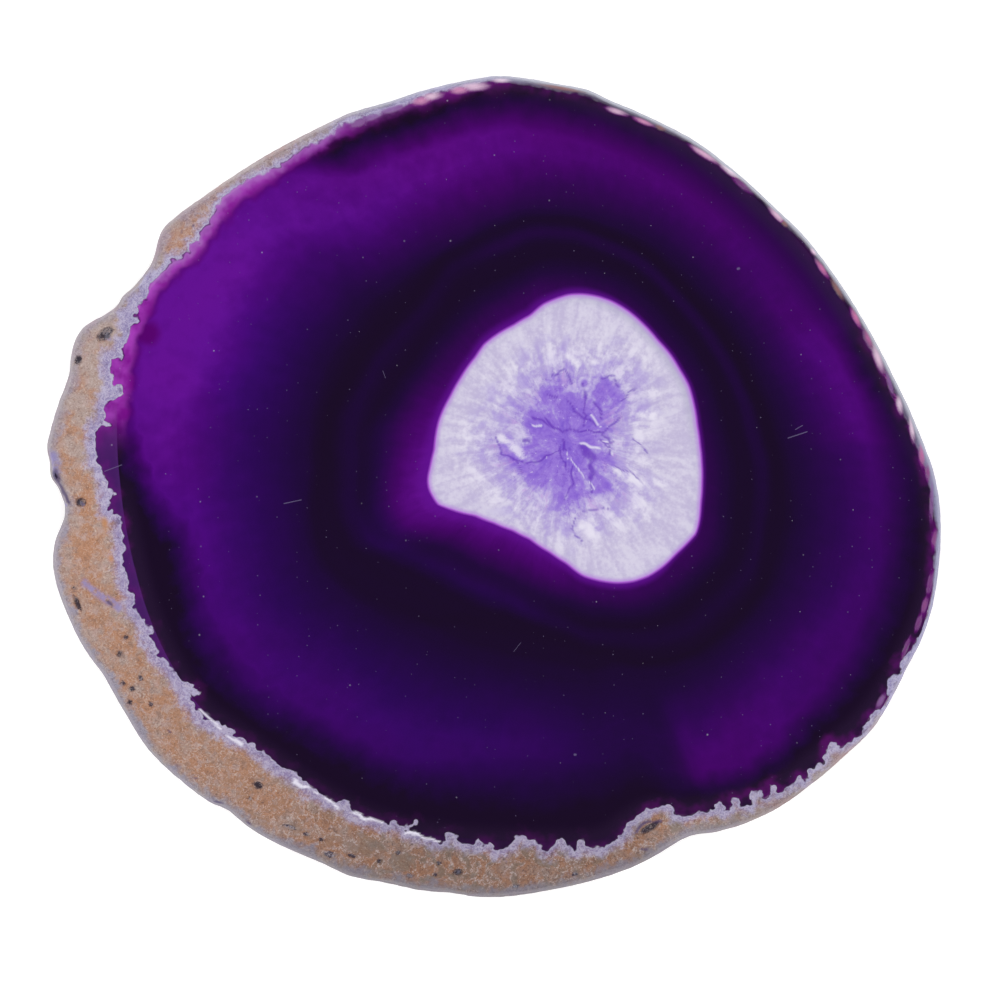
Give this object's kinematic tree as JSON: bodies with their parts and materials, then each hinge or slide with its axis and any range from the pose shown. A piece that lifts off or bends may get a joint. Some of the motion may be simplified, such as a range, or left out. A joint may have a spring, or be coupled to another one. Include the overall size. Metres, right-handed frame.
{
  "type": "agate slice",
  "caption": "Thin dyed agate slice with a flat polished face, dark purple bands round a pale quartz heart and a rough tan rind, lying flat.",
  "frame": {"origin": "centre of the back face's bounding box, on the surface that the slice lies on", "axes": "+Z out of the polished face, +X along the longest extent, +Y towards the narrow rounded end of the heart"},
  "size_m": [0.1004, 0.0922, 0.005],
  "materials": {
    "dyed_agate": "polished, with a matt natural rind"
  },
  "bodies": {
    "root": {"agate_slice": "dyed_agate"}
  },
  "joints": []
}
